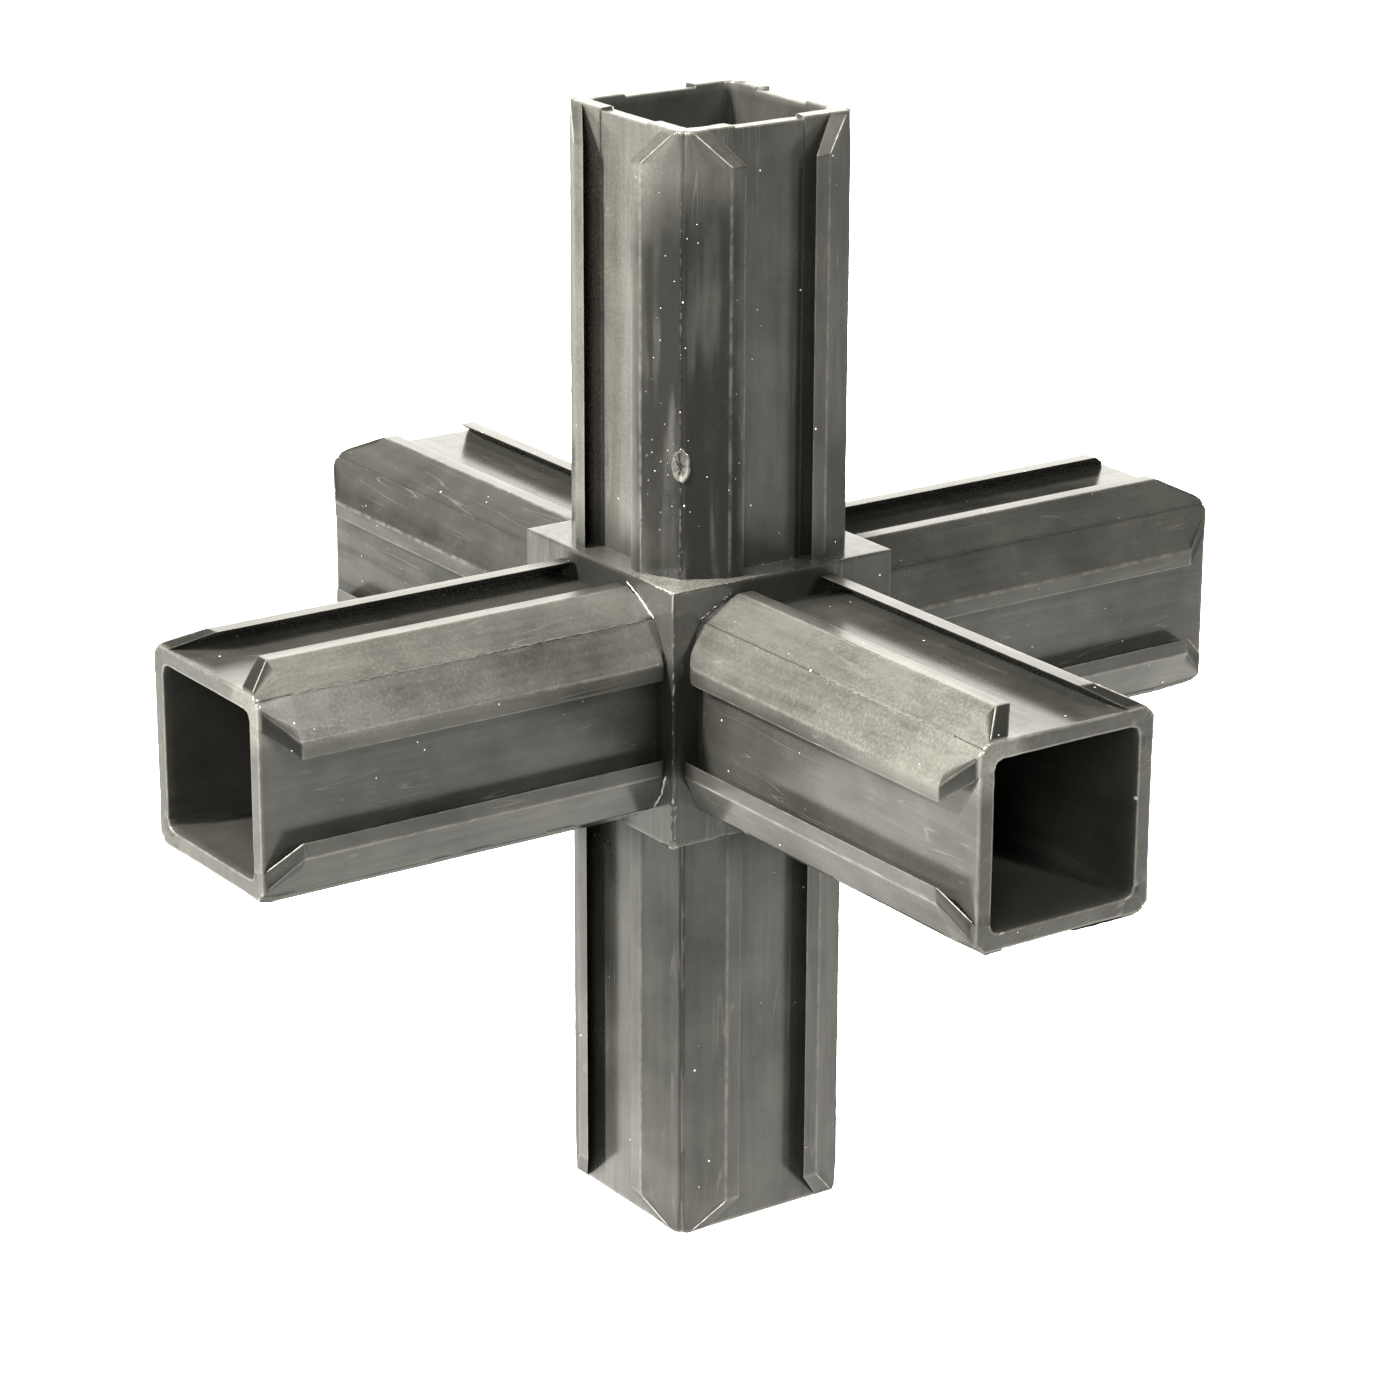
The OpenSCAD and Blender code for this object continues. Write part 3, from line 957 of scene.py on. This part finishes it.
# How far it is out of round and crumpled, in shares and millimetres, and how pale and mottled it is
gate_unround, gate_crumple = 0.05, 0.022
gate_paleness, gate_mottle, gate_rim_paler = 0.07, 0.08, 0.2
# The two ribs' outer sides fall away from the corner this much for each millimetre across
gate_fall = 0.296
# It cracked from its top to the left, to the right and down again, in millimetres across and up
gate_crack = [(0.03, 1.0), (-0.2, 0.46), (0.28, 0.0), (-0.08, -0.55), (-0.22, -0.85)]
crack_lift, crack_step, crack_radius = 0.03 * MM, 0.12 * MM, 0.07 * MM


def gate_scar(bm, dice, paleness):
    """A raised oval with a dished middle, bent over the leg's corner, its rim highest lower right."""
    out, along = Vector((1, -1, 0)).normalized(), Vector((1, 1, 0)).normalized()

    def on_corner(across, up, lift):
        across += gate_left
        return gate_place + along * across + Vector((0, 0, up)) + out * (lift - gate_fall * abs(across))

    crumple = [dice.uniform(-1, 1) for _ in range(gate_steps)]
    rings = []
    for reach, rise in gate_profile[1:]:
        ring = []
        for j in range(gate_steps):
            a = math.radians(360) * j / gate_steps
            edge = reach * (1 + gate_unround * crumple[j])
            across, up = gate_wide * edge * math.cos(a), gate_tall * edge * math.sin(a)
            lower_right = max(0.0, math.cos(a - gate_high_at))
            lift, pale = rise, gate_paleness + gate_mottle * crumple[(j * 3) % gate_steps]
            if rise > gate_rim_rise:
                lift *= gate_low_share + (1 - gate_low_share) * lower_right
                pale += gate_rim_paler * lower_right ** 2
            lift = (lift + gate_crumple * crumple[(j * 5) % gate_steps]) * MM
            ring.append(bm.verts.new(on_corner(across, up, lift)))
            paleness.append(pale)
        rings.append(ring)
    middle = bm.verts.new(on_corner(0, 0, gate_profile[0][1] * MM))
    under = bm.verts.new(gate_place - out * 0.7 * MM)
    paleness += [gate_paleness, gate_paleness]
    for j in range(gate_steps):
        after = (j + 1) % gate_steps
        bm.faces.new((middle, rings[0][j], rings[0][after]))
        bm.faces.new((under, rings[-1][after], rings[-1][j]))
        for a, b in zip(rings, rings[1:]):
            bm.faces.new((a[j], b[j], b[after], a[after]))
    # The crack is a black thread: painted shade in the crack
    crack = [on_corner(across * MM, up * MM, crack_lift) for across, up in gate_crack]
    thread(bm, path_between(crack, crack_step, dice), out, crack_radius, dice)
    make_pale(bm, paleness, -1.0)


print("scar:", round(2 * gate_wide / MM, 2), "by", round(2 * gate_tall / MM, 2), "mm")

# %% Stick crumbs to the stained rib beside the scar
crumb_count = 26
crumb_radius = (0.03, 0.075)
crumb_paleness = (0.2, 0.7)
# The stained side of the rib in millimetres: from beside the leg's corner towards the rib's tip and up
crumb_start = (9.3, -9.38, 17)
crumb_reach = (-3.7, -2.0, 18)


def rib_crumbs(bm, dice, paleness):
    for _ in range(crumb_count):
        across, up = dice.random(), min(max(dice.gauss(0.5, 0.22), 0.0), 1.0)
        shares = (across, across, up)
        spot = Vector([a + b * share for a, b, share in zip(crumb_start, crumb_reach, shares)]) * MM
        burr(bm, spot, dice.uniform(*crumb_radius) * MM, dice)
        make_pale(bm, paleness, dice.uniform(*crumb_paleness))


print("crumbs:", crumb_count)

# %% Gather the flash in one mesh
thread_step = 0.3 * MM


def flash_mesh():
    dice = random.Random(11)
    bm = bmesh.new()
    paleness = []
    count = lead_in_threads(bm, dice, paleness)
    for corners, out, radius, wobble, pale in hub_threads:
        corners = [Vector(c) * MM for c in corners]
        path = path_between(corners, thread_step, dice, wobble * MM)
        thread(bm, path, Vector(out).normalized(), radius * MM, dice)
        make_pale(bm, paleness, pale)
    for spot, wide, pale in burrs:
        burr(bm, Vector(spot) * MM, wide * MM / 2, dice)
        make_pale(bm, paleness, pale)
    gate_scar(bm, dice, paleness)
    rib_crumbs(bm, dice, paleness)
    bmesh.ops.recalc_face_normals(bm, faces=bm.faces)
    mesh = mesh_from(bm, "flash")
    mesh.shade_smooth()
    carry(mesh, "skin", [c for v in mesh.vertices for c in v.co])
    carry(mesh, "torn", paleness)
    print("threads:", count + len(hub_threads), "burrs:", len(burrs))
    return mesh


flash_plain = flash_mesh()
print("flash:", len(flash_plain.vertices), "points,", len(flash_plain.polygons), "faces")

# %% [markdown]
# ## Putting the pieces together
# The legs and the hub are closed skins that run into each other, which is how they look once the
# mould has fused them. They stand for the CAD solid, which stays in the file for the physics.

# %% Make the legs and the hub
def finished(piece):
    """Keeps real edges sharp, lets flat faces decide the shading, and ties the piece to the body."""
    piece.data.set_sharp_from_angle(angle=math.radians(50))
    weighted = piece.modifiers.new("flat_faces_first", "WEIGHTED_NORMAL")
    weighted.keep_sharp = True
    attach(piece, "root")
    return piece


six_legs = made_real("legs", cage, connector_tree(plastic))
hub = placed("hub", hub_plain)
hub.data.materials.append(plastic)
flash = placed("flash", flash_plain)
flash.data.materials.append(plastic)
for piece in (six_legs, hub, flash):
    finished(piece)
    triangles = sum(len(face.vertices) - 2 for face in piece.data.polygons)
    print(piece.name, len(piece.data.polygons), "faces", triangles, "triangles")
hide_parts("connector")
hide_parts("connector")
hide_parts("connector")

# %% [markdown]
# ## Floor and light
# The photograph was taken on a white sheet. A tall lamp stands to the left and gives the ribs their
# clear shadows, weaker ones stand to the right and behind the camera, and one hangs overhead. Each
# tall lamp is two sun lamps, one above the other, whose angle sets how soft its shadows are. The glow
# of the sheet and the wall is a few soft spots on the sky: each is strongest in one direction and
# fades with the angle from it. The sheet's bounce is among them, so the floor itself lights nothing.

# %% Lay the floor
# In metres, far enough out to stand behind the camera too
sheet_radius = 2.4


def floor_mesh(radius, steps_round=48, steps_up=24):
    """A ball seen from inside, pressed flat below the part: a floor whose sheet rises on every side."""
    bm = bmesh.new()
    bmesh.ops.create_uvsphere(bm, u_segments=steps_round, v_segments=steps_up, radius=radius)
    for vert in bm.verts:
        vert.co.z = max(vert.co.z, -leg_end)
    bmesh.ops.reverse_faces(bm, faces=bm.faces)
    return mesh_from(bm, "floor")


floor = placed("floor", floor_mesh(sheet_radius))
sheet = bpy.data.materials.new("white_sheet")
sheet.use_nodes = True
sheet_looks = {
    "Base Color": (0.9, 0.9, 0.89, 1), "Roughness": 0.9,
    "Emission Color": (1, 1, 1, 1), "Emission Strength": 1.0,
}
for label, value in sheet_looks.items():
    sheet.node_tree.nodes["Principled BSDF"].inputs[label].default_value = value
floor.data.materials.append(sheet)
floor.visible_diffuse = floor.visible_glossy = floor.visible_shadow = False
print("floor at", round(-leg_end / MM, 1), "mm")

# %% Aim by turn and height
def towards(turned, height):
    """The direction of something seen turned degrees from the front and height degrees up."""
    a, e = math.radians(turned), math.radians(height)
    return Vector((math.sin(a) * math.cos(e), -math.cos(a) * math.cos(e), math.sin(e)))


print("a lamp in front and above:", [round(v, 2) for v in towards(0, 45)])

# %% Set up the lamps
# name: (turn from the front, height above the horizon, strength, width in degrees)
lamps = {
    "strip_low": (-13, 20, 4.4, 6),
    "strip_middle": (-13, 38, 15.5, 6),
    "overhead": (0, 75, 4.0, 20),
    "right_low": (106, 20, 2.3, 6),
    "right_high": (106, 38, 1.9, 6),
    "room_low": (40, 20, 1.4, 20),
    "room_high": (40, 38, 1.4, 20),
}
for name, (turned, height, strength, width) in lamps.items():
    lamp = bpy.data.lights.new(name, "SUN")
    lamp.energy = strength
    lamp.angle = math.radians(width)
    lamp.color = (1.0, 0.982, 0.905)
    stand = placed(name, lamp)
    stand.rotation_mode = "QUATERNION"
    stand.rotation_quaternion = towards(turned, height).to_track_quat("Z", "Y")
print("lamps:", ", ".join(lamps))

# %% Let the sheet and the wall glow
# name: (turn from the front, height above the horizon, strength)
glows = {
    "sheet_right": (90, -40, 4.4),
    "sheet_far_right": (150, -40, 3.0),
    "sheet_front_left": (330, -40, 3.3),
    "sheet_left": (300, -40, 2.0),
    "sheet_front": (0, -40, 2.6),
    "wall_behind": (232, 15, 2.6),
}
# How fast a spot fades with the angle, and what glows from everywhere
softness = 10.0
room_glow = 0.16
world = bpy.data.worlds.new("studio")
world.use_nodes = True
bpy.context.scene.world = world
sky = world.node_tree
sky.nodes.clear()
direction = Wire.node(sky, "ShaderNodeTexCoord")
direction = Wire.node(sky, "ShaderNodeVectorMath", {"operation": "NORMALIZE"}, {0: direction})
glow = None
for name, (turned, height, strength) in glows.items():
    facing = direction.vector("DOT_PRODUCT", towards(turned, height), out=1)
    spot = ((facing - 1) * softness).math("EXPONENT") * strength
    glow = spot if glow is None else glow + spot
background = Wire.node(sky, "ShaderNodeBackground", None,
                       {"Color": (1.0, 0.982, 0.895, 1), "Strength": glow + room_glow})
background.ends("ShaderNodeOutputWorld", "Surface")
bpy.context.scene.view_settings.view_transform = "Standard"
print("glows:", ", ".join(glows))

# %% [markdown]
